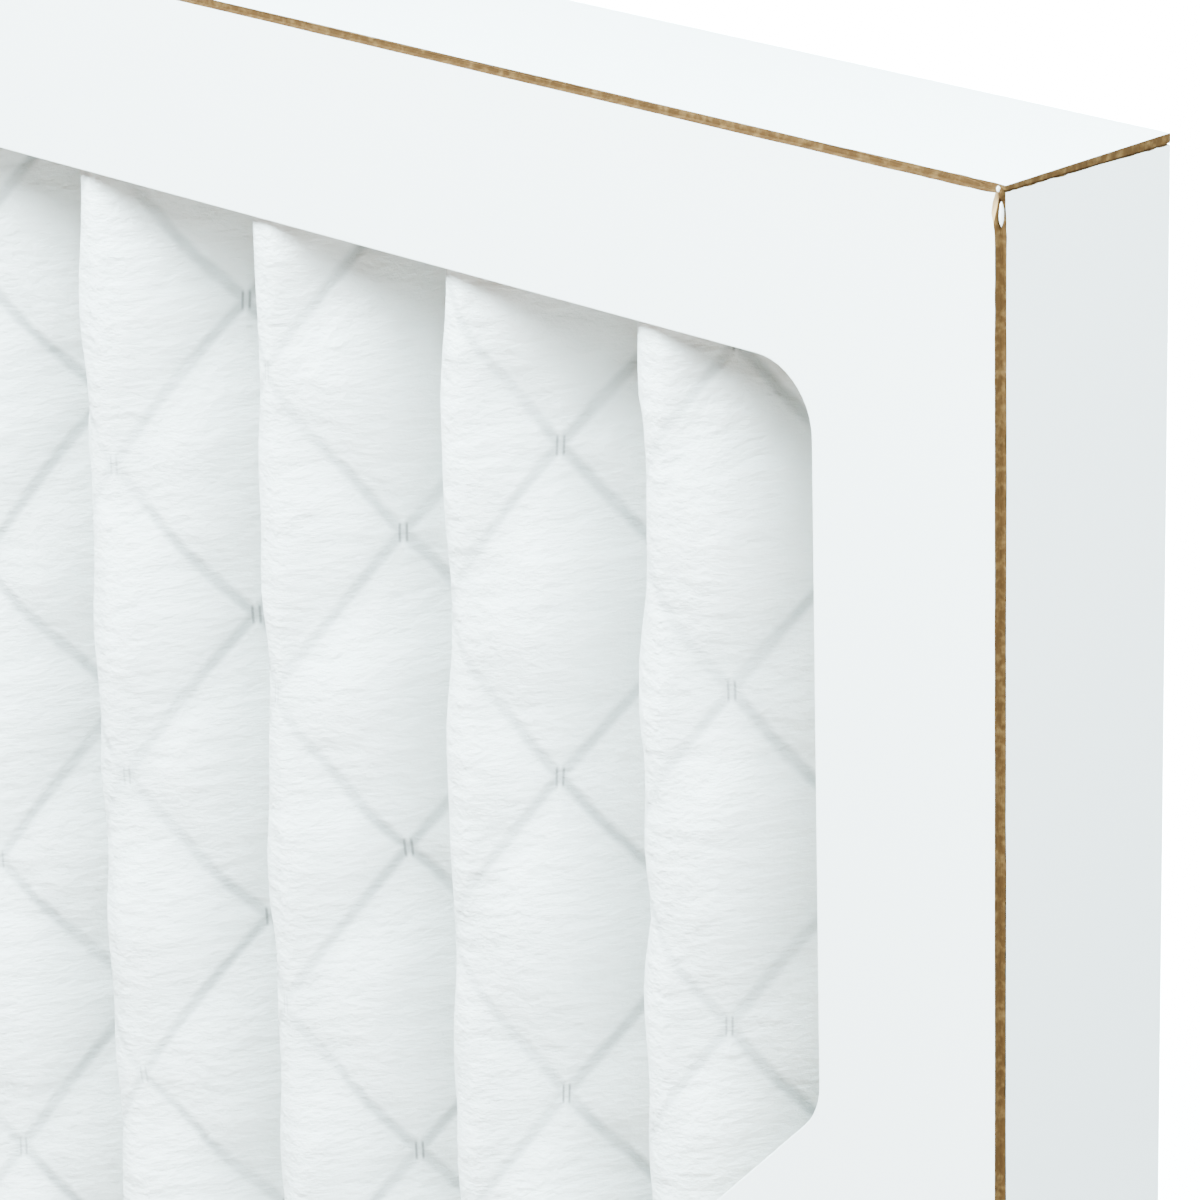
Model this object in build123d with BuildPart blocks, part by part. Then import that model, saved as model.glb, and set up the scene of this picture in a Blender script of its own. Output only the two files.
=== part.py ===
"""Pleated panel air filter: two nested folded-board trays round a pleated medium on a diamond grid.

The filter stands upright with its pleats vertical. X is its width, Y its depth with the
air-entering face at -Y, and Z its height. The origin is at the middle of its bottom edge.
All sizes are in millimetres.
"""

from math import hypot
import os

from build123d import *

# Frame
width = 343.0  # overall, for a nominal 14 inch slot
height = 495.0  # overall, for a nominal 20 inch slot
depth = 19.05  # front face to back face
board = 0.76  # thickness of the beverage board
score_depth = 0.5  # how far the cut scores run into the board
side_flange = 18.9  # face beside the windows
end_flange = 17.6  # face above and below the windows
window_radius = 5.6  # corners of the windows
strap_width = 22.2  # the two crossed straps of each face
strap_angle = 45.0  # straps against the horizontal
tab_length = 24.0  # glue tabs at the ends of the side walls
seam_width = 0.15  # joint between a side wall and the wall that laps over it
seam_depth = 0.3
nest_clearance = 0.05  # glue film between the outer and the inner walls

# Pleated medium and its grid
pleats = 15
media_thickness = 1.6
crease_radius = 0.15  # inside of a fold
tip_clearance = 0.1  # between the pleat pack and each face panel
strand_width = 0.8
strand_rise = 0.5  # front-to-back share of each of the grid's two layers
diamond_height = 29.3
diamond_column = 7.14  # spacing of the columns of grid joints, across the filter's face
diamond_offset = 1.7  # first joint column, in from the right wall
diamond_drop = 19.7  # first joint of that column, down from the top edge

# Adhesive
end_seal_thickness = 0.8
side_seal_size = 4.0

# Sizes that follow
wall_stack = 2 * board + nest_clearance
inner_width = width - 2 * wall_stack
inner_height = height - 2 * wall_stack
face_front = -depth / 2
panel_back = face_front + board
panel_front_of_back = depth / 2 - board
pack_height = inner_height - 2 * end_seal_thickness
pack_bottom = (height - pack_height) / 2
pack_depth = panel_front_of_back - panel_back - 2 * tip_clearance
pitch = inner_width / pleats
half_pitch = pitch / 2
fold_depth = pack_depth - media_thickness - crease_radius - 2 * strand_rise
flank_length = hypot(half_pitch, fold_depth)
slant = flank_length / half_pitch  # front-to-back thickness of a flank against its true thickness
outer_radius = crease_radius + media_thickness
media_rise = media_thickness * slant
grid_shift = media_rise + crease_radius  # the grid's sharp folds clear the rounded creases
pack_front = panel_back + tip_clearance
sharp_front = pack_front - outer_radius * (slant - 1)


def windows():
    """Opening of one face, less the two crossed straps: four windows with rounded corners."""
    opening_width = width - 2 * side_flange
    opening_height = height - 2 * end_flange
    with BuildSketch(mode=Mode.PRIVATE) as cut:
        with Locations((0, height / 2)):
            Rectangle(opening_width, opening_height)
            for angle in (strap_angle, -strap_angle):
                Rectangle(height + width, strap_width, rotation=angle, mode=Mode.SUBTRACT)
        fillet(cut.vertices(), window_radius)
    return cut.sketch


def zigzag(shift, front_radius, back_radius):
    """Fold line of the pleats, moved back by shift, with rounded or sharp folds."""
    front = sharp_front + shift
    back = front + fold_depth
    points = [(-inner_width / 2, back)]
    radii = []
    for number in range(pleats):
        ridge = -inner_width / 2 + (number + 0.5) * pitch
        points.append((ridge, front))
        points.append((ridge + half_pitch, back))
        radii += [front_radius, back_radius]
    if front_radius:
        return FilletPolyline(*points, radius=radii[:-1])
    return Polyline(*points)


def pleated_band(shift, rise, front_radii=(0, 0), back_radii=(0, 0)):
    """Closed outline of a pleated layer between two fold lines that lie rise apart."""
    with BuildSketch(mode=Mode.PRIVATE) as band:
        with BuildLine():
            near = zigzag(shift, front_radii[0], back_radii[0])
            far = zigzag(shift + rise, front_radii[1], back_radii[1])
            Line(near @ 0, far @ 0)
            Line(near @ 1, far @ 1)
        make_face()
    return band.sketch


# Front tray: the face panel, four walls, the side walls' glue tabs and the opened cut scores
with BuildPart() as front_frame:
    with BuildSketch(Plane.XZ.offset(-face_front)) as panel:
        with Locations((0, height / 2)):
            Rectangle(width, height)
        add(windows(), mode=Mode.SUBTRACT)
    extrude(amount=-board)
    with BuildSketch(Plane.XZ.offset(-face_front)) as walls:
        with Locations((0, height / 2)):
            Rectangle(width, height)
            Rectangle(width - 2 * board, height - 2 * board, mode=Mode.SUBTRACT)
    extrude(amount=-depth)
    with BuildSketch(Plane.XZ.offset(-panel_back)) as tabs:
        with Locations((0, height / 2)):
            with GridLocations(width - 2 * board - tab_length, height - 3 * board, 2, 2):
                Rectangle(tab_length, board)
    extrude(amount=panel_back - panel_front_of_back)
    with BuildSketch(Plane.XZ.offset(-face_front)) as scores:
        with Locations((0, height / 2)):
            Rectangle(width, height)
            Rectangle(width - 2 * score_depth, height - 2 * score_depth, mode=Mode.SUBTRACT)
    extrude(amount=-score_depth, mode=Mode.SUBTRACT)
    with BuildSketch(Plane.XZ.offset(-face_front)) as seams:
        with Locations((0, height / 2)):
            with GridLocations(width - seam_depth, height - 2 * board - seam_width, 2, 2):
                Rectangle(seam_depth, seam_width)
    extrude(amount=-depth, mode=Mode.SUBTRACT)
front_frame.part.label = "front_frame"

# Back tray: nested in the front one, its end walls cut back to pass between the glue tabs
back_width = width - 2 * (board + nest_clearance)
back_height = height - 2 * (board + nest_clearance)
end_wall_length = width - 2 * (board + tab_length + nest_clearance)
side_wall_height = inner_height
inner_wall_depth = panel_front_of_back - panel_back
with BuildPart() as back_frame:
    with BuildSketch(Plane.XZ.offset(-panel_front_of_back)) as back_panel:
        with Locations((0, height / 2)):
            Rectangle(back_width, back_height)
        add(windows(), mode=Mode.SUBTRACT)
    extrude(amount=-board)
    with BuildSketch(Plane.XZ.offset(-panel_front_of_back)) as back_walls:
        with Locations((0, height / 2)):
            with GridLocations(0, back_height - board, 1, 2):
                Rectangle(end_wall_length, board)
            with GridLocations(back_width - board, 0, 2, 1):
                Rectangle(board, side_wall_height)
    extrude(amount=inner_wall_depth)
    with BuildSketch(Plane.XZ.offset(-depth / 2)) as back_scores:
        with Locations((0, height / 2)):
            Rectangle(back_width, back_height)
            Rectangle(back_width - 2 * score_depth, back_height - 2 * score_depth, mode=Mode.SUBTRACT)
    extrude(amount=score_depth, mode=Mode.SUBTRACT)
back_frame.part.label = "back_frame"

# Pleated medium: one sheet, folded, with round noses and tight creases
with BuildPart() as media:
    with BuildSketch(Plane.XY.offset(pack_bottom)):
        add(pleated_band(0, media_rise, (outer_radius, crease_radius), (crease_radius, outer_radius)))
    extrude(amount=pack_height)
media.part.label = "media"


def strands(direction):
    """Diagonal strips of the unfolded grid as the face sees them, one for each strand."""
    step = diamond_height / 2 / diamond_column
    strip_height = strand_width * hypot(1, step / slant)
    climb = inner_width * step
    joint_x = inner_width / 2 - diamond_offset
    joint_z = height - diamond_drop
    at_right = joint_z + direction * diamond_offset * step
    count_up = int((climb + pack_height) / diamond_height) + 2
    with BuildSketch(Plane.XZ.offset(-face_front), mode=Mode.PRIVATE) as strips:
        for number in range(-count_up, count_up + 1):
            z_right = at_right + number * diamond_height - strip_height / 2
            z_left = z_right - direction * climb
            low, high = min(z_left, z_right), max(z_left, z_right) + strip_height
            if high > pack_bottom and low < pack_bottom + pack_height:
                with BuildLine():
                    Polyline(
                        (-inner_width / 2, z_left),
                        (inner_width / 2, z_right),
                        (inner_width / 2, z_right + strip_height),
                        (-inner_width / 2, z_left + strip_height),
                        close=True,
                    )
                make_face()
    return strips.sketch


def grid_layer(shift, direction):
    """All strands that climb one way, folded with the pleats."""
    with BuildPart(mode=Mode.PRIVATE) as layer:
        with BuildSketch(Plane.XY.offset(pack_bottom)):
            add(pleated_band(shift, strand_rise))
        extrude(amount=pack_height)
        add(extrude(strands(direction), amount=-depth, mode=Mode.PRIVATE), mode=Mode.INTERSECT)
    return layer.part.solids()


# Support grid: the two sets of strands lie face to face behind the medium
support_grid = Compound(
    label="support_grid",
    children=grid_layer(grid_shift, 1) + grid_layer(grid_shift + strand_rise, -1),
)


def end_seal(level, label):
    """Bed of adhesive on the inside of an end wall, from one face panel to the other."""
    with BuildPart() as seal:
        with BuildSketch(Plane.XY.offset(level)):
            Rectangle(inner_width, inner_wall_depth)
        extrude(amount=end_seal_thickness)
    seal.part.label = label
    return seal


def side_seal(side, label):
    """Wedge of adhesive between a side wall and the last leg of the medium."""
    wall = side * inner_width / 2
    valley = sharp_front + fold_depth
    rise = side_seal_size * fold_depth / half_pitch
    with BuildPart() as seal:
        with BuildSketch(Plane.XY.offset(pack_bottom)):
            with BuildLine():
                Polyline(
                    (wall, valley),
                    (wall - side * side_seal_size, valley - rise),
                    (wall, valley - rise),
                    close=True,
                )
            make_face()
        extrude(amount=pack_height)
    seal.part.label = label
    return seal


end_seal_bottom = end_seal(wall_stack, "end_seal_bottom")
end_seal_top = end_seal(height - wall_stack - end_seal_thickness, "end_seal_top")
side_seal_left = side_seal(-1, "side_seal_left")
side_seal_right = side_seal(1, "side_seal_right")

os.makedirs("parts", exist_ok=True)
seals = (end_seal_bottom, end_seal_top, side_seal_left, side_seal_right)
for piece in (front_frame, back_frame, media, *seals):
    export_step(piece.part, f"parts/{piece.part.label}.step")
export_step(support_grid, "parts/support_grid.step")
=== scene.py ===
"""Finish of the pleated panel air filter: white-faced board trays, a quilted pleated medium and its
expanded-metal grid, set up as a close view of the top right front corner under soft studio light.

Metres, in the filter's own frame: X across the pleats, Y from the air-entering face (-Y) to the
air-leaving face (+Y), Z up along the pleats, with the origin at the middle of the bottom edge.
"""

import math

import bmesh
import bpy
import numpy as np
from mathutils import Matrix, Vector, noise


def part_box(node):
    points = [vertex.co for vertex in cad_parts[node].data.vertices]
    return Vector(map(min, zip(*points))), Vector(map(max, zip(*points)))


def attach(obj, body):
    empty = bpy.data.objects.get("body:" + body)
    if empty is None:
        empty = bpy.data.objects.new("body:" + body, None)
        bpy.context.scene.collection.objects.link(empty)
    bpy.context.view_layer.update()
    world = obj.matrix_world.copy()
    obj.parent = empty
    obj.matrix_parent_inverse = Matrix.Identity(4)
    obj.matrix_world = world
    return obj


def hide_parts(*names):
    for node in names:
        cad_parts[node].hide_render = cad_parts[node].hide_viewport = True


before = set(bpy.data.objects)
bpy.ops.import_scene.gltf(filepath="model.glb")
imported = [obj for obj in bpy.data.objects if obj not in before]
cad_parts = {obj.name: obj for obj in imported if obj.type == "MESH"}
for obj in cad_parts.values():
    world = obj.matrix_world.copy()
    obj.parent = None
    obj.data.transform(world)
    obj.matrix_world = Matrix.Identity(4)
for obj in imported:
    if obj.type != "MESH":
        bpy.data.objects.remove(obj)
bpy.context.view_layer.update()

MM = 0.001
TOUCH = 0.02 * MM  # closer than this counts as touching

# Board trays
BOARD = 0.76 * MM  # thickness of the beverage board
SCORE = 0.5 * MM  # depth of the opened cut scores
SEAM = 0.15 * MM  # joint under the lapping end walls
LAP_CUT = 0.3 * MM  # depth of that joint
END_FLANGE = 17.6 * MM
SIDE_FLANGE = 18.9 * MM
WHITE, CORE, KRAFT = 0, 1, 2  # order of a tray's materials

# Pleats, from the medium's own box
PLEATS = 15
MEDIA_THICKNESS = 1.6 * MM
CREASE_RADIUS = 0.15 * MM
NOSE_RADIUS = CREASE_RADIUS + MEDIA_THICKNESS
BOW = 1.6 * MM  # how far the legs of a pleat belly out of their flat planes
LEAN = 4.3 * MM  # how far the pleats lean to the left, halfway between their sealed ends

tray_low, tray_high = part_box("front_frame")
pack_low, pack_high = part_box("media")
PITCH = (pack_high.x - pack_low.x) / PLEATS
HALF_PITCH = PITCH / 2
FOLD_DEPTH = (pack_high.y - pack_low.y) - MEDIA_THICKNESS
FLANK = math.hypot(HALF_PITCH, FOLD_DEPTH)
SLANT = FLANK / HALF_PITCH
SHARP_FRONT = pack_low.y - NOSE_RADIUS * (SLANT - 1)

# Expanded metal, as unfolded sheet
JOINT_RISE = 29.3 * MM / 2  # half of a diamond's height
JOINT_COLUMN = 7.14 * MM  # spacing of the columns of joints, across the filter's face
JOINT_OFFSET = 1.7 * MM  # first column, in from the right end of the medium
JOINT_DROP = 19.7 * MM  # first joint of that column, down from the top edge
LATTICE_ACROSS = 1.8 * MM  # how far the bowed legs carry the lattice to the right
LATTICE_UP = 2.0 * MM
STRAND_WIDTH = 0.8 * MM
STRAND_SLOPE = math.atan2(JOINT_RISE, JOINT_COLUMN * SLANT)
JOINT_X = pack_high.x - JOINT_OFFSET
JOINT_Z = tray_high.z - JOINT_DROP


def smooth_step(low, high, value):
    """0 below low, 1 above high and an even ramp between."""
    t = np.clip((value - low) / (high - low), 0, 1)
    return t * t * (3 - 2 * t)


# ---------------------------------------------------------------- how the pack lies


def wander(x, z):
    """Sideways lean of the pleats between their sealed ends and side walls."""
    down = (tray_high.z - z) / (tray_high.z - tray_low.z)
    free = np.sin(np.pi * np.clip(down, 0, 1))
    held = 1 - np.abs(2 * (x - pack_low.x) / (pack_high.x - pack_low.x) - 1) ** 14
    long_ripple = 0.2 * MM * np.sin(x / (19 * MM) + z / (31 * MM))
    short_ripple = 0.08 * MM * np.sin(z / (8 * MM) - x / (27 * MM))
    return held * (-LEAN * free**0.6 + (long_ripple + short_ripple) * free**0.5)


def stray(x, z):
    """How far the grid's joints stray from an even lattice, across and up."""
    less_at_right = 0.7 * MM * smooth_step(100 * MM, 150 * MM, x)
    sway = 0.5 * MM * np.sin(z / (47 * MM) + x / (60 * MM))
    skew = 0.045 * (pack_high.x - 60 * MM - x) * np.exp(-(((x - 100 * MM) / (90 * MM)) ** 2))
    dip = 0.6 * MM * np.sin(x / (23 * MM) + z / (90 * MM))
    return LATTICE_ACROSS - less_at_right + sway, skew + LATTICE_UP + dip


def lattice(x, z):
    """Lattice coordinates of a point on the unfolded grid: strands lie where either is whole."""
    across, up = stray(x, z)
    column = (x - across - JOINT_X) / JOINT_COLUMN
    row = (z - up - JOINT_Z) / JOINT_RISE
    return (row + column) / 2, (row - column) / 2


def ridge_share(x):
    """0 at the ridges of the air-entering face and 1 in its valleys."""
    return np.abs((x - pack_low.x) / PITCH % 1 - 0.5) * 2


def ease(share):
    """Starts from 0 without a kink, then follows the share."""
    return np.sqrt(share**2 + 0.08**2) - 0.08


def fold_line(x, offset):
    """Front-to-back place of a layer that lies offset behind the medium's face."""
    share = ridge_share(x)
    place = SHARP_FRONT + share * FOLD_DEPTH + offset * SLANT
    from_nose = share * HALF_PITCH
    from_crease = (1 - share) * HALF_PITCH
    steep = FOLD_DEPTH / FLANK
    nose = np.maximum(NOSE_RADIUS - offset, CREASE_RADIUS)
    crease = CREASE_RADIUS + offset
    nose_middle = SHARP_FRONT + offset * SLANT + nose * SLANT
    crease_middle = SHARP_FRONT + FOLD_DEPTH + offset * SLANT - crease * SLANT
    nose_arc = nose_middle - np.sqrt(np.maximum(nose**2 - from_nose**2, 0))
    crease_arc = crease_middle + np.sqrt(np.maximum(crease**2 - from_crease**2, 0))
    place = np.where(from_nose < nose * steep, nose_arc, place)
    place = np.where(from_crease < crease * steep, crease_arc, place)
    from_wall = np.minimum(x - pack_low.x, pack_high.x - x)
    right_leg = (x - pack_low.x) / PITCH % 1 > 0.5
    fuller_at_nose = 1.35 - 0.7 * share
    belly = np.where(right_leg, 5.4, 1.4) * ease(share) * ease(1 - share) * fuller_at_nose
    return place - BOW * belly * smooth_step(HALF_PITCH, PITCH, from_wall)


def lumps(x, z, size, seed):
    """Seeded unevenness of about -1 to 1, as waves that run every way over the unfolded sheet."""
    value = np.zeros(np.broadcast(x, z).shape)
    maker = np.random.default_rng(seed)
    for _ in range(7):
        angle, phase = maker.uniform(0, 2 * np.pi, 2)
        stretch = maker.uniform(0.6, 1.7)
        run = x * SLANT * np.cos(angle) + z * np.sin(angle)
        value = value + np.sin(run * stretch / size + phase)
    return value / 4


# ---------------------------------------------------------------- shader maths


class Value:
    """A number socket that Python's operators work on."""

    def __init__(self, shader, socket):
        self.shader = shader
        self.socket = socket

    def _maths(self, operation, *values):
        made = self.shader.node("ShaderNodeMath", {"operation": operation}, dict(enumerate(values)))
        return Value(self.shader, made.outputs[0])

    def __add__(self, other):
        return self._maths("ADD", self, other)

    __radd__ = __add__

    def __sub__(self, other):
        return self._maths("SUBTRACT", self, other)

    def __rsub__(self, other):
        return self._maths("SUBTRACT", other, self)

    def __mul__(self, other):
        return self._maths("MULTIPLY", self, other)

    __rmul__ = __mul__

    def __truediv__(self, other):
        return self._maths("DIVIDE", self, other)

    def absolute(self):
        return self._maths("ABSOLUTE", self)

    def nearest(self):
        return self._maths("ROUND", self)

    def least(self, other):
        return self._maths("MINIMUM", self, other)

    def rise(self, low, high):
        """0 below low, 1 above high and an even ramp between."""
        return self._ramp(low, high, 0.0, 1.0)

    def close_to_zero(self, inner, outer):
        """1 below inner, 0 above outer and an even ramp between."""
        return self._ramp(inner, outer, 1.0, 0.0)

    def _ramp(self, low, high, start, end):
        settings = {"interpolation_type": "SMOOTHSTEP", "clamp": True}
        sockets = {"Value": self, "From Min": low, "From Max": high, "To Min": start, "To Max": end}
        ramp = self.shader.node("ShaderNodeMapRange", settings, sockets)
        return Value(self.shader, ramp.outputs[0])


class Shader:
    """One procedural material with a single Principled surface."""

    def __init__(self, name, **constants):
        self.material = bpy.data.materials.new(name)
        self.material.use_nodes = True
        self.tree = self.material.node_tree
        self.tree.nodes.clear()
        self.surface = self.node("ShaderNodeBsdfPrincipled", {}, constants)
        self.node("ShaderNodeOutputMaterial", {}, {"Surface": self.surface.outputs[0]})

    def node(self, kind, settings, sockets):
        """Makes a node, sets it up, then gives its sockets their values or links."""
        made = self.tree.nodes.new(kind)
        for key, value in settings.items():
            setattr(made, key, value)
        for key, value in sockets.items():
            self.feed(made.inputs[key], value)
        return made

    def feed(self, socket, value):
        """Links a socket to another, or sets its constant."""
        if isinstance(value, Value):
            value = value.socket
        if isinstance(value, bpy.types.NodeSocket):
            self.tree.links.new(value, socket)
        else:
            socket.default_value = value

    def number(self, socket):
        return Value(self, socket)

    def place(self, stretch=(1, 1, 1)):
        """Object coordinates, stretched along the axes."""
        where = self.node("ShaderNodeTexCoord", {}, {}).outputs["Object"]
        return self.node("ShaderNodeMapping", {}, {"Vector": where, "Scale": stretch}).outputs[0]

    def unfolded(self, layer, stretch=(1, 1, 1)):
        """A UV layer of the piece, stretched along its two directions."""
        where = self.node("ShaderNodeUVMap", {"uv_map": layer}, {}).outputs[0]
        return self.node("ShaderNodeMapping", {}, {"Vector": where, "Scale": stretch}).outputs[0]

    def noise(self, where, scale, detail=3.0, roughness=0.55):
        sockets = {"Vector": where, "Scale": scale, "Detail": detail, "Roughness": roughness}
        return self.number(self.node("ShaderNodeTexNoise", {}, sockets).outputs[0])

    def blend(self, amount, first, second):
        """Mixes two colours, each a tuple or a socket."""
        sockets = {0: amount, 6: first, 7: second}
        return self.node("ShaderNodeMix", {"data_type": "RGBA"}, sockets).outputs[2]

    def bump(self, height, strength, distance):
        sockets = {"Height": height, "Strength": strength, "Distance": distance}
        return self.node("ShaderNodeBump", {}, sockets).outputs[0]

    def finish(self, **sockets):
        for key, value in sockets.items():
            self.feed(self.surface.inputs[key.replace("_", " ")], value)
        return self.material


def white_board():
    """Clay-coated white face of the board: satin, a faint mottle, a fine fibre tooth."""
    made = Shader("white_board_face", **{"Specular IOR Level": 0.32})
    mottle = made.noise(made.place(), 90.0)
    cloud = made.noise(made.place(), 16.0)
    tooth = made.noise(made.place((1.0, 1.0, 0.6)), 2600.0, 4.0)
    patches = mottle * 0.6 + cloud * 0.4
    tint = made.blend(patches, (0.905, 0.928, 0.935, 1), (0.935, 0.950, 0.955, 1))
    return made.finish(
        Base_Color=tint,
        Roughness=0.5 + 0.12 * mottle,
        Normal=made.bump(tooth + 0.6 * mottle, 0.25, 0.04 * MM),
    )


def board_core():
    """Raw brown core at a cut or torn edge: laminated fibres, light and dark."""
    made = Shader("brown_board_core", Roughness=0.93, **{"Specular IOR Level": 0.15})
    plies = made.noise(made.place((0.25, 1.0, 0.25)), 2900.0, 5.0, 0.7)
    flecks = made.noise(made.place(), 1500.0, 3.0)
    dark = made.blend(plies, (0.030, 0.0132, 0.0032, 1), (0.088, 0.043, 0.0115, 1))
    tint = made.blend((flecks * 2.6 - 1.2), dark, (0.150, 0.086, 0.030, 1))
    return made.finish(Base_Color=tint, Normal=made.bump(plies + flecks, 0.7, 0.12 * MM))


def kraft_inside():
    """Uncoated kraft on the inside of the trays."""
    made = Shader("kraft_inside", Roughness=0.88, **{"Specular IOR Level": 0.2})
    fibre = made.noise(made.place((1.0, 1.0, 0.25)), 1300.0, 5.0, 0.65)
    shive = made.noise(made.place((0.4, 1.0, 1.0)), 420.0, 3.0)
    tint = made.blend(fibre, (0.42, 0.260, 0.115, 1), (0.56, 0.370, 0.180, 1))
    tint = made.blend((shive * 3.0 - 1.6), tint, (0.56, 0.40, 0.23, 1))
    return made.finish(Base_Color=tint, Normal=made.bump(fibre, 0.4, 0.05 * MM))


def soft_media():
    """Lofted white nonwoven, creased where it is laminated to the grid's strands. Its colour holds
    painted shade: darker in the creases and hollows along the strands, at the edges of the joints'
    bonds and towards the valleys.
    """
    made = Shader("white_nonwoven", Roughness=0.95, **{"Specular IOR Level": 0.12})
    split = made.node("ShaderNodeSeparateXYZ", {}, {0: made.unfolded("lattice")})
    climbing, falling = made.number(split.outputs[0]), made.number(split.outputs[1])
    off_climbing = climbing - climbing.nearest()
    off_falling = falling - falling.nearest()
    sheet = made.node("ShaderNodeSeparateXYZ", {}, {0: made.unfolded("unfolded")})
    pleat = made.number(sheet.outputs[0]) / (2 * FLANK)
    from_ridge = ((pleat - pleat.nearest()).absolute() * 2 - 1).absolute()

    fibre = made.noise(made.unfolded("unfolded", (0.55, 1.0, 1.0)), 700.0, 6.0, 0.62)
    floss = made.noise(made.unfolded("unfolded", (0.6, 1.0, 1.0)), 130.0, 4.0)
    streak = made.noise(made.unfolded("unfolded", (0.3, 1.0, 1.0)), 420.0, 4.0)
    cloud = made.noise(made.unfolded("unfolded"), 34.0, 2.0)

    spacing = 2 * JOINT_RISE * math.cos(STRAND_SLOPE) / MM
    strand = off_climbing.absolute().least(off_falling.absolute()) * spacing + (floss - 0.5) * 0.5
    # Painted shade grows towards the valleys: this scales the darkened creases, hollows and bond
    # edges
    valley_shade = from_ridge.rise(0.02, 0.7) * 0.65 + 0.35
    patchy_line = floss.rise(0.3, 0.6) * 0.5 + 0.5
    # Painted shade in the creases along the strands, broken up at random and stronger deeper in the
    # valleys
    crease = strand.close_to_zero(0.12, 0.8) * valley_shade * patchy_line
    # Painted shade in the broad hollows beside the strands; the same mask also presses the bump in
    hollow = strand.close_to_zero(0.1, 2.8) * valley_shade
    # Painted shade: two short dark lines along the edges of each joint's bond, stronger deeper in
    # the valleys
    bond_up = (off_climbing + off_falling).absolute() * (JOINT_RISE / MM)
    bond_across = (off_climbing - off_falling).absolute() * (JOINT_COLUMN * SLANT / MM)
    bond_sides = (bond_across - 0.27).absolute().close_to_zero(0.03, 0.17)
    bond = bond_sides * bond_up.close_to_zero(0.6, 1.1) * valley_shade

    felt = fibre * 0.8 + floss * 1.2 - 0.5
    tint = made.blend(felt, (0.785, 0.835, 0.828, 1), (0.95, 0.97, 0.966, 1))
    # Painted shade: the medium darkens towards the valleys, where the pleats shade each other
    tint = made.blend(from_ridge.rise(0.3, 1.0) * 0.4, tint, (0.56, 0.62, 0.612, 1))
    # Painted shade: the hollows beside the strands darken, patchily
    tint = made.blend(hollow * (0.2 + 0.25 * cloud), tint, (0.52, 0.545, 0.545, 1))
    # Painted shade: the creases along the strands darken towards grey
    tint = made.blend(crease * 0.85, tint, (0.31, 0.33, 0.33, 1))
    # Painted shade: the bond's edge lines darken almost to black
    tint = made.blend(bond * 0.8, tint, (0.15, 0.15, 0.15, 1))
    pulled = (streak - 0.5) * (1 - from_ridge)
    relief = (fibre - 0.5) * 0.4 + (floss - 0.5) * 0.9 + pulled * 0.5
    relief = relief - hollow * 0.2 - crease * 0.12
    return made.finish(Base_Color=tint, Normal=made.bump(relief, 1.0, MM))


def galvanised():
    """Bright zinc of the expanded metal, with dull spangle."""
    made = Shader("galvanised_strand", Metallic=1.0)
    spangle = made.noise(made.place(), 480.0, 3.0)
    scratch = made.noise(made.place((1.0, 1.0, 0.3)), 2400.0, 3.0)
    tint = made.blend(spangle, (0.55, 0.565, 0.58, 1), (0.80, 0.81, 0.815, 1))
    return made.finish(
        Base_Color=tint,
        Roughness=0.3 + 0.3 * spangle,
        Normal=made.bump(scratch, 0.2, 0.02 * MM),
    )


def set_adhesive():
    """Milky set adhesive."""
    made = Shader("milky_adhesive", **{"Specular IOR Level": 0.45})
    flow = made.noise(made.place(), 260.0, 3.0)
    tint = made.blend(flow, (0.80, 0.785, 0.72, 1), (0.88, 0.87, 0.82, 1))
    return made.finish(
        Base_Color=tint,
        Roughness=0.32 + 0.2 * flow,
        Normal=made.bump(flow, 0.5, 0.2 * MM),
    )


def studio_floor():
    """Pale matt paper."""
    made = Shader("studio_floor", Roughness=0.9, **{"Specular IOR Level": 0.1})
    grain = made.noise(made.place(), 40.0, 2.0)
    tint = made.blend(grain, (0.90, 0.905, 0.91, 1), (0.925, 0.93, 0.93, 1))
    return made.finish(Base_Color=tint)


# ---------------------------------------------------------------- the board trays


def new_piece(name, mesh, *materials):
    """A mesh as an object of the scene, unmoved, with its materials in order."""
    piece = bpy.data.objects.new(name, mesh)
    bpy.context.scene.collection.objects.link(piece)
    for material in materials:
        mesh.materials.append(material)
    return piece


def near(value, target):
    """True if two places along one axis touch."""
    return abs(value - target) < TOUCH


def along(edge, axis):
    """True for an edge of more than 1.2 mm that runs along one axis."""
    run = edge.verts[1].co - edge.verts[0].co
    return abs(run[axis]) > 0.999 * run.length and run.length > 1.2 * MM


def rag(shell, chosen, way, spacing, fine, coarse, opened=0.1 * MM):
    """Makes straight cut edges ragged along one axis and opens them towards the tray's middle."""
    middle = (tray_low + tray_high) / 2
    for edge in chosen:
        cuts = max(1, round(edge.calc_length() / spacing) - 1)
        ends = set(edge.verts)
        parts = bmesh.ops.subdivide_edges(shell, edges=[edge], cuts=cuts)
        for vertex in (v for v in parts["geom_inner"] if isinstance(v, bmesh.types.BMVert)):
            if vertex in ends:
                continue
            place = vertex.co / MM
            tear = noise.noise(place * 1.3) * coarse + noise.noise(place * 4.1) * fine
            inwards = math.copysign(opened, middle[way] - vertex.co[way])
            vertex.co[way] += tear + inwards


def lift_laps(shell, lap):
    """Side walls creep up towards the face, so the raw strip above them tapers forwards."""
    middle = tray_high.z / 2
    creep = 0.42 * MM
    for vertex in shell.verts:
        place = vertex.co
        end = math.copysign(1, place.z - middle)
        past_lap = abs(place.z - middle) - (lap - middle)
        in_cut = abs(place.x) > tray_high.x - LAP_CUT - TOUCH
        if in_cut and -2 * SEAM < past_lap < 0.12 * MM:
            forward = (tray_high.y - place.y) / (tray_high.y - tray_low.y)
            place.z += end * creep * forward


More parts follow.
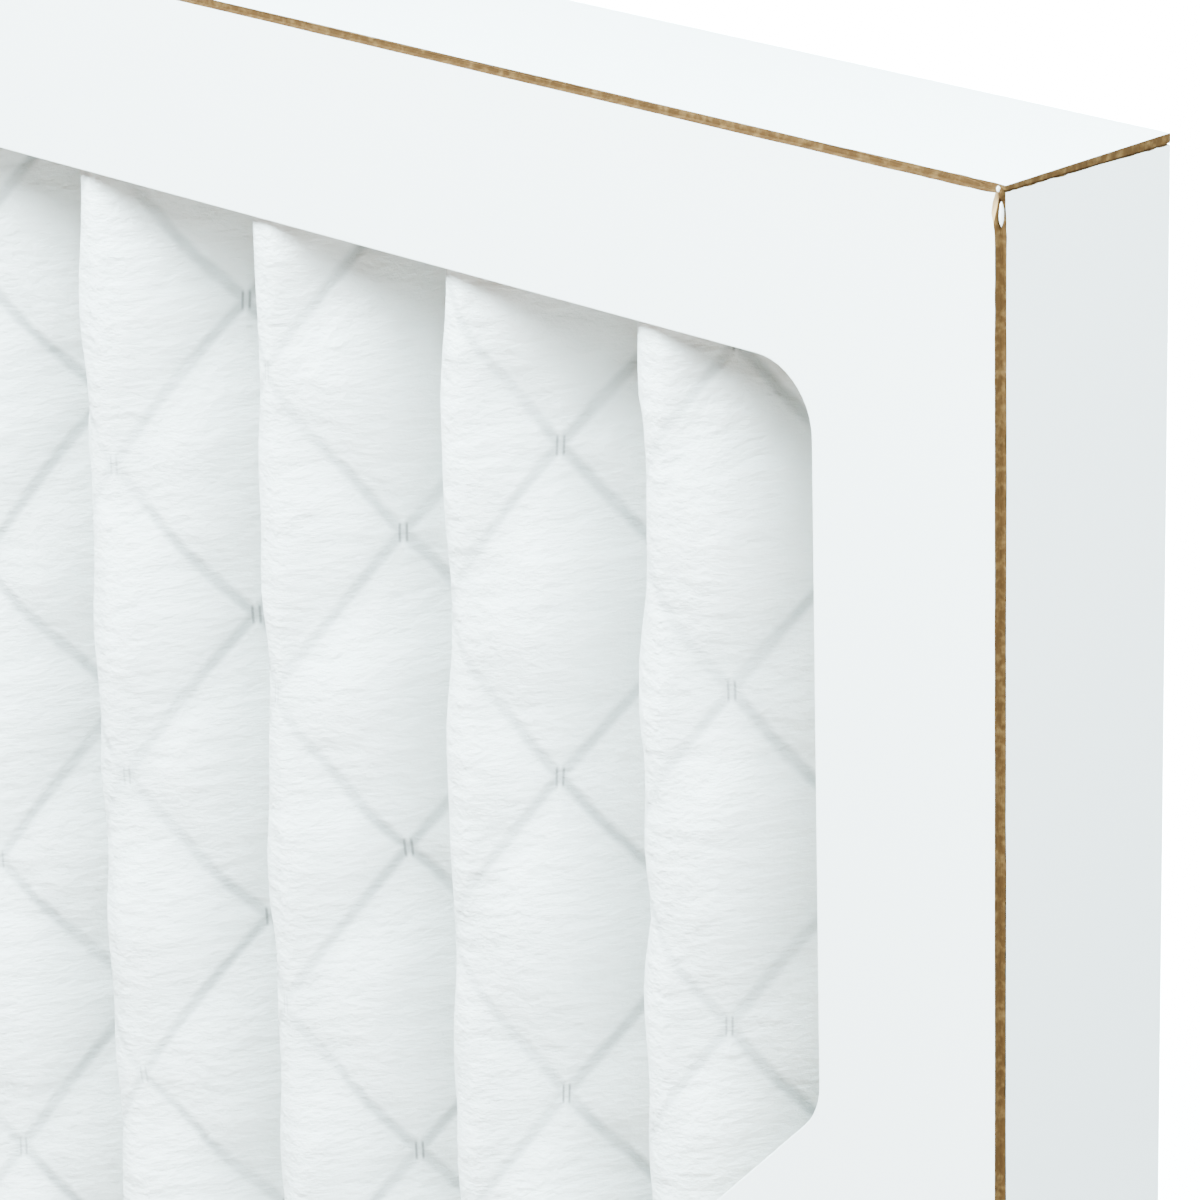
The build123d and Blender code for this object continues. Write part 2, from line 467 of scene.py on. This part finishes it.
def belly_corners(rim):
    """The cut of the face bellies in, 2 mm from each corner."""
    middle = tray_high.z / 2
    for vertex in rim:
        from_end = (middle - abs(vertex.co.z - middle)) / MM
        belly = 0.33 * MM * math.exp(-((from_end - 2.0) ** 2))
        vertex.co.x -= math.copysign(belly, vertex.co.x)


def shred(shell, middle, reach, seed, material_index):
    """A leaf-shaped shred of torn board, closed all round, long in its last direction."""
    maker = np.random.default_rng(seed)
    rings, around = 7, 8
    loops = []
    for ring in range(1, rings):
        along_leaf = ring / rings
        girth = math.sin(math.pi * along_leaf) ** 0.6
        loop = []
        for step in range(around):
            angle = 2 * math.pi * step / around
            rough = girth * maker.uniform(0.8, 1.0)
            offset = (math.cos(angle) * rough, math.sin(angle) * rough, 1 - 2 * along_leaf)
            loop.append(shell.verts.new([m + o * r for m, o, r in zip(middle, offset, reach)]))
        loops.append(loop)
    x, y, z = middle
    tips = [shell.verts.new((x, y, z + end * reach[2])) for end in (1, -1)]
    corners = []
    for step in range(around):
        after = (step + 1) % around
        corners.append((loops[0][after], tips[0], loops[0][step]))
        corners.append((loops[-1][step], tips[1], loops[-1][after]))
        for upper, lower in zip(loops, loops[1:]):
            corners.append((upper[step], lower[step], lower[after], upper[after]))
    made = [shell.faces.new(loop) for loop in corners]
    bmesh.ops.recalc_face_normals(shell, faces=made)
    for face in made:
        face.material_index = material_index


def shred_corners(shell):
    """Torn lining and core where the scores of the front tray meet."""
    front, side, top = tray_low.y, tray_high.x, tray_high.z
    shreds = (  # place in from the side, the face and the end, half sizes, seed and material
        ((0.19, 0.26, 2.1), (0.18, 0.25, 0.98), 0, WHITE),
        ((0.44, 0.20, 0.26), (0.14, 0.19, 0.25), 10, WHITE),
        ((0.21, 0.30, 0.60), (0.19, 0.28, 0.50), 20, CORE),
    )
    corners = ((1, top, -1), (-1, top, -1), (1, 0, 1), (-1, 0, 1))
    for number, (way, end, inwards) in enumerate(corners):
        for (from_side, back, from_end), size, seed, material_index in shreds:
            middle = (
                way * (side - from_side * MM),
                front + back * MM,
                end + inwards * from_end * MM,
            )
            reach = [length * MM for length in size]
            shred(shell, middle, reach, number + seed, material_index)


def tray_shell(node):
    """The tray's own solid as a clean shell of flat faces."""
    shell = bmesh.new()
    shell.from_mesh(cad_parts[node].data)
    bmesh.ops.remove_doubles(shell, verts=shell.verts, dist=0.001 * MM)
    flat = math.radians(0.3)
    bmesh.ops.dissolve_limit(shell, angle_limit=flat, verts=shell.verts, edges=shell.edges)
    return shell


def paint_tray(shell, low, high, into):
    """White outside, brown at every cut and kraft inside; into is the way the walls run."""
    bmesh.ops.triangulate(shell, faces=shell.faces)
    face_plane, rear_plane = (low.y, high.y) if into > 0 else (high.y, low.y)
    opened = SCORE + 0.3 * MM  # an opened score with its ragged rims
    for face in shell.faces:
        corners = [v.co for v in face.verts]
        behind_face = max((c.y - face_plane) * into for c in corners)
        from_end = [min(c.z - low.z, high.z - c.z) for c in corners]
        from_side = [high.x - abs(c.x) for c in corners]
        from_rim = max(min(pair) for pair in zip(from_end, from_side))
        on_side = max(from_side) < TOUCH
        if behind_face < TOUCH or max(from_end) < TOUCH:
            face.material_index = WHITE
        elif behind_face < opened and from_rim < opened:
            face.material_index = CORE
        elif all(near(c.y, rear_plane) for c in corners):
            face.material_index = CORE
        elif on_side and (into < 0 or min(from_end) > TOUCH):
            face.material_index = WHITE
        elif on_side or max(from_side) < LAP_CUT + TOUCH:
            face.material_index = CORE
        elif behind_face < BOARD + TOUCH and abs(face.normal.y) < 0.5:
            cut = is_window_edge(face.calc_center_median())
            face.material_index = CORE if cut else KRAFT
        else:
            face.material_index = KRAFT


def is_window_edge(point):
    """True within the stretch that the windows' cut edges take up."""
    inside_x = abs(point.x) < tray_high.x - SIDE_FLANGE + 0.3 * MM
    inside_z = END_FLANGE - 0.3 * MM < point.z < tray_high.z - END_FLANGE + 0.3 * MM
    return inside_x and inside_z


def soften_windows(shell):
    """Takes the sharpness off the die-cut edges of the windows, on the white side."""
    rim = []
    for edge in shell.edges:
        middle = (edge.verts[0].co + edge.verts[1].co) / 2
        if len(edge.link_faces) == 2 and edge.calc_face_angle() > 1.2 and is_window_edge(middle):
            if {face.material_index for face in edge.link_faces} == {WHITE, CORE}:
                rim.append(edge)
    bmesh.ops.bevel(shell, geom=rim, offset=0.12 * MM, segments=2, profile=0.5, affect="EDGES")


def finish_tray(shell, name, *materials):
    """Turns the shell into the tray's piece, in plain triangles."""
    bmesh.ops.triangulate(shell, faces=shell.faces)
    mesh = bpy.data.meshes.new(name)
    shell.to_mesh(mesh)
    shell.free()
    return new_piece(name, mesh, *materials)


def front_tray(*materials):
    """Front tray with ragged opened scores and raw wall ends."""
    shell = tray_shell("front_frame")
    front, side, top = tray_low.y, tray_high.x, tray_high.z
    lap = top - BOARD

    def on_wall_rim(point):
        outside = near(abs(point.x), side) or near(point.z, 0) or near(point.z, top)
        return near(point.y, front + SCORE) and outside

    face_rim_x, face_rim_z, wall_rim, lap_lines = [], [], [], []
    for edge in shell.edges:
        a, b = (v.co for v in edge.verts)
        if near(a.y, front) and near(b.y, front):
            if along(edge, 2) and near(abs(a.x), side - SCORE):
                face_rim_x.append(edge)
            elif along(edge, 0) and (near(a.z, SCORE) or near(a.z, top - SCORE)):
                face_rim_z.append(edge)
        elif on_wall_rim(a) and on_wall_rim(b):
            if along(edge, 0) or along(edge, 2):
                wall_rim.append(edge)
        elif along(edge, 1) and near(abs(a.x), side):
            if near(abs(a.z - top / 2), lap - SEAM - top / 2):
                lap_lines.append(edge)
    rag(shell, face_rim_x, 0, 0.8 * MM, 0.03 * MM, 0.04 * MM)
    rag(shell, face_rim_z, 2, 0.8 * MM, 0.03 * MM, 0.04 * MM)
    rag(shell, wall_rim, 1, 0.6 * MM, 0.10 * MM, 0.10 * MM)
    rag(shell, lap_lines, 2, 0.4 * MM, 0.06 * MM, 0.07 * MM, opened=0)
    on_face = [v for v in shell.verts if near(v.co.y, front)]
    belly_corners([v for v in on_face if abs(abs(v.co.x) - side + SCORE) < 0.25 * MM])
    lift_laps(shell, lap)
    paint_tray(shell, tray_low, tray_high, 1)
    soften_windows(shell)
    shred_corners(shell)
    return finish_tray(shell, "front_tray", *materials)


def back_tray(*materials):
    """Back tray with its own opened scores."""
    shell = tray_shell("back_frame")
    low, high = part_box("back_frame")
    back = high.y
    face_rim_x, face_rim_z = [], []
    for edge in shell.edges:
        a, b = (v.co for v in edge.verts)
        if near(a.y, back) and near(b.y, back):
            if along(edge, 2) and near(abs(a.x), high.x - SCORE):
                face_rim_x.append(edge)
            elif along(edge, 0) and (near(a.z, low.z + SCORE) or near(a.z, high.z - SCORE)):
                face_rim_z.append(edge)
    rag(shell, face_rim_x, 0, 0.8 * MM, 0.03 * MM, 0.05 * MM)
    rag(shell, face_rim_z, 2, 0.8 * MM, 0.03 * MM, 0.05 * MM)
    paint_tray(shell, low, high, -1)
    soften_windows(shell)
    return finish_tray(shell, "back_tray", *materials)


# ---------------------------------------------------------------- the pleated medium

NOSE_STEPS = (0.0, 0.03, 0.065, 0.1, 0.14, 0.22, 0.32, 0.43, 0.55, 0.67, 0.79, 0.9, 1.0)
BACK_STEP = 3  # columns of the face to one of the back
FACE_ROWS = 220
BACK_ROWS = 55
FULLNESS = 0.35 * MM  # how far the medium stands out between the strands


def pleat_columns():
    """Columns of the medium across the filter, close together at the noses."""
    places = [pack_low.x]
    for pleat in range(PLEATS):
        ridge = pack_low.x + (pleat + 0.5) * PITCH
        places += [ridge - share * HALF_PITCH for share in reversed(NOSE_STEPS[:-1])]
        places += [ridge + share * HALF_PITCH for share in NOSE_STEPS[1:]]
    return np.array(places)


def quilting(x, z):
    """1 over the strands and 0 in the middle of each diamond, with soft slopes."""
    climbing, falling = lattice(x, z)
    over_climbing = np.cos(np.pi * climbing) ** 4
    over_falling = np.cos(np.pi * falling) ** 4
    return 1 - (1 - over_climbing) * (1 - over_falling)


def media_face(x, z):
    """Quilted air-entering surface: pressed in along the strands, full between them."""
    share, over = ridge_share(x), quilting(x, z)
    pressed = (0.2 + 0.5 * smooth_step(0, 0.4, share)) * MM * over
    full = FULLNESS * smooth_step(0.04, 0.3, share) * (1 - over)
    uneven = 0.16 * MM * (lumps(x, z, 2.2 * MM, 5) + lumps(x, z, 6 * MM, 6))
    return np.maximum(pressed - full + uneven + 0.1 * MM, -0.05 * MM - full)


def media_back(x, z):
    """Air-leaving surface: flat on the strands, a little proud between them."""
    return MEDIA_THICKNESS + FULLNESS * (1 - quilting(x, z))


def pleated_media(material):
    """One closed sheet: a fine face, a coarser back and a rim that joins them all round."""
    fine_x = pleat_columns()
    coarse_x = fine_x[::BACK_STEP]
    fine_z = np.linspace(pack_low.z, pack_high.z, FACE_ROWS + 1)
    coarse_z = np.linspace(pack_low.z, pack_high.z, BACK_ROWS + 1)
    face_x, face_z = np.meshgrid(fine_x, fine_z, indexing="ij")
    back_x, back_z = np.meshgrid(coarse_x, coarse_z, indexing="ij")
    points, flat = [], []
    for x, z, depth in ((face_x, face_z, media_face), (back_x, back_z, media_back)):
        place = fold_line(x, depth(x, z))
        points.append(np.stack([x + wander(x, z), place, z], -1).reshape(-1, 3))
        flat.append(np.stack([x, z], -1).reshape(-1, 2))
    points, flat = np.concatenate(points), np.concatenate(flat)
    rows, back_rows = FACE_ROWS + 1, BACK_ROWS + 1
    start = face_x.size

    def face_at(i, j):
        return i * rows + j

    def back_at(i, j):
        return start + i * back_rows + j

    faces = []
    for i in range(len(fine_x) - 1):
        for j in range(FACE_ROWS):
            foot = face_at(i, j), face_at(i + 1, j)
            faces.append((*foot, face_at(i + 1, j + 1), face_at(i, j + 1)))
    for i in range(len(coarse_x) - 1):
        for j in range(BACK_ROWS):
            upright = back_at(i, j), back_at(i, j + 1)
            faces.append((*upright, back_at(i + 1, j + 1), back_at(i + 1, j)))
    ratio = FACE_ROWS // BACK_ROWS
    last, back_last = len(fine_x) - 1, len(coarse_x) - 1
    for j in range(BACK_ROWS):
        left = [face_at(0, j * ratio + k) for k in range(ratio + 1)]
        faces.append((*left, back_at(0, j + 1), back_at(0, j)))
        right = [face_at(last, j * ratio + k) for k in reversed(range(ratio + 1))]
        faces.append((*right, back_at(back_last, j), back_at(back_last, j + 1)))
    for i in range(back_last):
        under = [face_at(i * BACK_STEP + k, 0) for k in reversed(range(BACK_STEP + 1))]
        faces.append((*under, back_at(i, 0), back_at(i + 1, 0)))
        over = [face_at(i * BACK_STEP + k, FACE_ROWS) for k in range(BACK_STEP + 1)]
        faces.append((*over, back_at(i + 1, BACK_ROWS), back_at(i, BACK_ROWS)))
    mesh = bpy.data.meshes.new("pleated_media")
    mesh.from_pydata(points.tolist(), [], faces)
    corner = np.empty(len(mesh.loops), dtype=np.int32)
    mesh.loops.foreach_get("vertex_index", corner)
    unfolded = np.stack([(flat[:, 0] - pack_low.x) * SLANT, flat[:, 1]], -1)
    joints = np.stack(lattice(flat[:, 0], flat[:, 1]), -1)
    for name, values in (("unfolded", unfolded), ("lattice", joints)):
        layer = mesh.uv_layers.new(name=name)
        layer.data.foreach_set("uv", values[corner].ravel().astype(np.float32))
    mesh.shade_smooth()
    mesh.validate()
    return new_piece("pleated_media", mesh, material)


# ---------------------------------------------------------------- the expanded metal


class Tree:
    """A Geometry Nodes tree built node by node."""

    def __init__(self, name, **numbers):
        self.tree = bpy.data.node_groups.new(name, "GeometryNodeTree")
        for way in ("INPUT", "OUTPUT"):
            self.tree.interface.new_socket("Geometry", in_out=way, socket_type="NodeSocketGeometry")
        self.values = {}
        for key, value in numbers.items():
            kind = "NodeSocketInt" if isinstance(value, int) else "NodeSocketFloat"
            name = key.replace("_", " ")
            socket = self.tree.interface.new_socket(name, in_out="INPUT", socket_type=kind)
            self.values[socket.identifier] = value
        self.start = self.tree.nodes.new("NodeGroupInput")
        self.end = self.tree.nodes.new("NodeGroupOutput")

    def input(self, key):
        return self.start.outputs[key]

    def feed(self, socket, value):
        if isinstance(value, bpy.types.NodeSocket):
            self.tree.links.new(value, socket)
        else:
            socket.default_value = value

    def node(self, kind, **sockets):
        made = self.tree.nodes.new(kind)
        for key, value in sockets.items():
            self.feed(made.inputs[key.replace("_", " ")], value)
        return made

    def maths(self, operation, first, second=0.0):
        made = self.tree.nodes.new("ShaderNodeMath")
        made.operation = operation
        self.feed(made.inputs[0], first)
        self.feed(made.inputs[1], second)
        return made.outputs[0]

    def grow(self, piece):
        """Runs the tree on a piece and keeps the result as its plain mesh."""
        modifier = piece.modifiers.new(self.tree.name, "NODES")
        modifier.node_group = self.tree
        for identifier, value in self.values.items():
            modifier[identifier] = value
        evaluated = piece.evaluated_get(bpy.context.evaluated_depsgraph_get())
        mesh = bpy.data.meshes.new_from_object(evaluated)
        piece.modifiers.clear()
        piece.data = mesh
        return piece


def expanded_metal_tree(material, columns, rows):
    """Flat expanded metal: staggered joints, each with a bond and two legs to the next column."""
    tree = Tree(
        "expanded_metal",
        Columns=columns,
        Rows=rows,
        Column_Spacing=JOINT_COLUMN,
        Joint_Rise=JOINT_RISE,
        Strand_Width=STRAND_WIDTH / SLANT,
        Strand_Thickness=0.32 * MM,
        Bond_Length=3.4 * MM,
        Leg_Steps=9,
    )
    column, rise = tree.input("Column Spacing"), tree.input("Joint Rise")

    def point(**places):
        return tree.node("ShaderNodeCombineXYZ", **places).outputs[0]

    def strand(path, count, radius=None):
        """A closed bar along a path, cut into even steps."""
        even = tree.node("GeometryNodeResampleCurve", Curve=path.outputs[0], Count=count)
        if radius:
            even = tree.node("GeometryNodeSetCurveRadius", Curve=even.outputs[0], Radius=radius)
        ends = {"Curve": even.outputs[0], "Profile_Curve": section.outputs[0], "Fill_Caps": True}
        return tree.node("GeometryNodeCurveToMesh", **ends).outputs[0]

    line = tree.node("GeometryNodeMeshLine", Count=tree.input("Columns"), Offset=point(X=column))
    number = tree.node("GeometryNodeInputIndex").outputs[0]
    odd = tree.maths("MULTIPLY", tree.maths("MODULO", number, 2.0), rise)
    joints = tree.node("GeometryNodeSetPosition", Geometry=line.outputs[0], Offset=point(Z=odd))
    step = point(Z=tree.maths("MULTIPLY", rise, 2.0))
    up = tree.node("GeometryNodeMeshLine", Count=tree.input("Rows"), Offset=step)
    joints = tree.node(
        "GeometryNodeInstanceOnPoints", Points=joints.outputs[0], Instance=up.outputs[0]
    )
    joints = tree.node("GeometryNodeRealizeInstances", Geometry=joints.outputs[0])

    section = tree.node(
        "GeometryNodeCurvePrimitiveQuadrilateral",
        Width=tree.input("Strand Width"),
        Height=tree.input("Strand Thickness"),
    )
    cell = tree.node("GeometryNodeJoinGeometry")
    for way in (1.0, -1.0):
        far = point(X=column, Z=tree.maths("MULTIPLY", rise, way))
        leg = tree.node("GeometryNodeCurvePrimitiveLine", End=far)
        tree.feed(cell.inputs[0], strand(leg, tree.input("Leg Steps")))
    half = tree.maths("MULTIPLY", tree.input("Bond Length"), 0.5)
    low, high = point(Z=tree.maths("MULTIPLY", half, -1.0)), point(Z=half)
    bond = tree.node("GeometryNodeCurvePrimitiveLine", Start=low, End=high)
    along_bond = tree.node("GeometryNodeSplineParameter").outputs["Factor"]
    bulge = tree.maths("SINE", tree.maths("MULTIPLY", along_bond, math.pi))
    waist = tree.maths("ADD", tree.maths("MULTIPLY", bulge, 1.3), 0.5)
    tree.feed(cell.inputs[0], strand(bond, 5, waist))

    placed = tree.node(
        "GeometryNodeInstanceOnPoints", Points=joints.outputs[0], Instance=cell.outputs[0]
    )
    real = tree.node("GeometryNodeRealizeInstances", Geometry=placed.outputs[0])
    done = tree.node("GeometryNodeSetMaterial", Geometry=real.outputs[0], Material=material)
    tree.feed(tree.end.inputs[0], done.outputs[0])
    return tree


def cut_at(shell, place, normal, clear=False):
    """Cuts the flat sheet by a plane, and drops what lies beyond it if asked."""
    everything = shell.verts[:] + shell.edges[:] + shell.faces[:]
    cut = bmesh.ops.bisect_plane(
        shell, geom=everything, plane_co=place, plane_no=normal, clear_outer=clear
    )
    if clear:
        rim = [e for e in cut["geom_cut"] if isinstance(e, bmesh.types.BMEdge)]
        bmesh.ops.holes_fill(shell, edges=rim, sides=0)


def expanded_metal(material):
    """The grid: grown flat, trimmed to the pack, then folded with the medium."""
    columns = math.ceil((pack_high.x - pack_low.x) / JOINT_COLUMN) + 5
    rows = math.ceil((pack_high.z - pack_low.z) / (2 * JOINT_RISE)) + 3
    piece = new_piece("expanded_metal_grid", bpy.data.meshes.new("flat_grid"))
    expanded_metal_tree(material, columns, rows).grow(piece)
    mesh = piece.data
    left_columns = math.floor((JOINT_X - pack_low.x) / JOINT_COLUMN + 3)
    left_columns += left_columns % 2
    rows_down = math.floor((JOINT_Z - pack_low.z) / (2 * JOINT_RISE) + 1.5)
    left = JOINT_X - left_columns * JOINT_COLUMN
    bottom = JOINT_Z - rows_down * 2 * JOINT_RISE
    shell = bmesh.new()
    shell.from_mesh(mesh)
    bmesh.ops.translate(shell, verts=shell.verts, vec=(left, 0, bottom))
    for way in (-1, 1):
        limit = pack_high if way > 0 else pack_low
        cut_at(shell, limit, Vector((way, 0, 0)), clear=True)
        cut_at(shell, limit, Vector((0, 0, way)), clear=True)
    for fold in range(1, 2 * PLEATS):
        cut_at(shell, Vector((pack_low.x + fold * HALF_PITCH, 0, 0)), Vector((1, 0, 0)))
    shell.to_mesh(mesh)
    shell.free()
    place = np.empty(len(mesh.vertices) * 3, dtype=np.float32)
    mesh.vertices.foreach_get("co", place)
    x, thickness, z = place.reshape(-1, 3).T.astype(float)
    across, up = stray(x, z)
    x = np.clip(x + across, pack_low.x, pack_high.x)
    z = np.clip(z + up, pack_low.z, pack_high.z)
    behind = MEDIA_THICKNESS + 0.1 * MM + (thickness - thickness.min())
    folded = np.stack([x + wander(x, z), fold_line(x, behind), z], -1)
    mesh.vertices.foreach_set("co", folded.ravel().astype(np.float32))
    mesh.update()
    return piece


# ---------------------------------------------------------------- light and camera


COOL = (0.785, 0.962, 1.0)  # the studio's lamps, slightly cool
WARM = (1.0, 0.60, 0.32)  # a low bounce that warms the shade under the top flange


def area_light(name, place, aim, size, power, spread=180, colour=COOL):
    """One rectangular lamp that the camera doesn't see; watts, and its spread in degrees."""
    lamp = bpy.data.lights.new(name, "AREA")
    lamp.shape = "RECTANGLE"
    lamp.size, lamp.size_y = size
    lamp.energy = power
    lamp.color = colour
    lamp.spread = math.radians(spread)
    holder = bpy.data.objects.new(name, lamp)
    bpy.context.scene.collection.objects.link(holder)
    holder.location = place
    holder.rotation_euler = (Vector(aim) - Vector(place)).to_track_quat("-Z", "Y").to_euler()
    holder.visible_camera = False


def pale_surround():
    """Surround that is pale at the floor's level and dim overhead."""
    world = bpy.data.worlds.new("studio")
    world.use_nodes = True
    tree = world.node_tree
    background = tree.nodes["Background"]
    background.inputs["Color"].default_value = (0.96, 0.985, 1.0, 1)
    direction = tree.nodes.new("ShaderNodeTexCoord")
    height = tree.nodes.new("ShaderNodeSeparateXYZ")
    fade = tree.nodes.new("ShaderNodeMapRange")
    fade.interpolation_type = "SMOOTHSTEP"
    for key, value in (("From Min", 0.0), ("From Max", 0.3), ("To Min", 0.75), ("To Max", 0.1)):
        fade.inputs[key].default_value = value
    tree.links.new(direction.outputs["Generated"], height.inputs[0])
    tree.links.new(height.outputs["Z"], fade.inputs["Value"])
    tree.links.new(fade.outputs[0], background.inputs["Strength"])
    bpy.context.scene.world = world


def studio():
    """Pale floor and surround, small soft lamps near the corner and wide ones further off."""
    pale_surround()
    corner = Vector((tray_high.x, tray_low.y, tray_high.z))
    near_corner = corner - Vector((50, 0, 40)) * MM
    lamps_at_corner = (  # name, way and distance from the corner, side, power and colour
        ("key", (-0.26, -0.60, 0.76), 0.42, (0.16, 0.16), 13.0, COOL),
        ("right_fill", (0.68, -0.36, 0.64), 0.5, (0.24, 0.24), 13.5, COOL),
        ("low_fill", (0.2, -0.85, -0.48), 0.65, (0.4, 0.3), 1.6, WARM),
    )
    for name, way, distance, size, power, colour in lamps_at_corner:
        place = near_corner + distance * Vector(way)
        area_light(name, place, near_corner, size, power, colour=colour)
    middle = (0, 0, tray_high.z / 2)
    area_light("front_fill", (-0.6, -1.8, 1.0), middle, (1.6, 1.2), 2)
    area_light("rear_fill", (-0.8, 1.8, 1.2), middle, (1.6, 1.2), 110)
    area_light("backdrop", (-0.85, 1.1, 1.2), (-0.85, 1.1, 0), (1.0, 1.6), 220, spread=60)
    reach = 2.2
    corners = [(x * reach, y * reach, 0) for x, y in ((-1, -1), (1, -1), (1, 1), (-1, 1))]
    mesh = bpy.data.meshes.new("studio_floor")
    mesh.from_pydata(corners, [], [(0, 1, 2, 3)])
    new_piece("studio_floor", mesh, studio_floor())


def corner_camera():
    """Close view of the top right front corner, from the right and above."""
    azimuth, elevation, roll = (math.radians(d) for d in (45.372, 20.163, -1.467))
    distance = 400.8 * MM
    slide_across, slide_up = -28.77 * MM, -29.61 * MM
    focal_pixels, image_pixels = 5587.0, 1200.0
    back = Vector(
        (
            math.sin(azimuth) * math.cos(elevation),
            -math.cos(azimuth) * math.cos(elevation),
            math.sin(elevation),
        )
    )
    level = (-back).cross(Vector((0, 0, 1))).normalized()
    plumb = back.cross(level)
    across = level * math.cos(roll) + plumb * math.sin(roll)
    up = plumb * math.cos(roll) - level * math.sin(roll)
    corner = Vector((tray_high.x, tray_low.y, tray_high.z))
    lens = bpy.data.cameras.new("corner_camera")
    lens.sensor_width = 36.0
    lens.lens = lens.sensor_width * focal_pixels / image_pixels
    lens.clip_start, lens.clip_end = 0.01, 50.0
    camera = bpy.data.objects.new("corner_camera", lens)
    bpy.context.scene.collection.objects.link(camera)
    turn = Matrix((across, up, back)).transposed().to_4x4()
    turn.translation = corner + back * distance + across * slide_across + up * slide_up
    camera.matrix_world = turn
    bpy.context.scene.camera = camera


def dress(piece, slot, *nodes):
    """Puts a piece in its CAD nodes' place, on the filter's one body."""
    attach(piece, "root")
    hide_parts(*nodes)


white, core, kraft = white_board(), board_core(), kraft_inside()
dress(front_tray(white, core, kraft), "board", "front_frame")
dress(back_tray(white, core, kraft), "board", "back_frame")

media = pleated_media(soft_media())
dress(media, "media", "media")
dress(expanded_metal(galvanised()), "grid", "support_grid")

adhesive = set_adhesive()
for seal in ("end_seal_bottom", "end_seal_top", "side_seal_left", "side_seal_right"):
    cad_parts[seal].data.materials.clear()
    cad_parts[seal].data.materials.append(adhesive)

studio()
corner_camera()
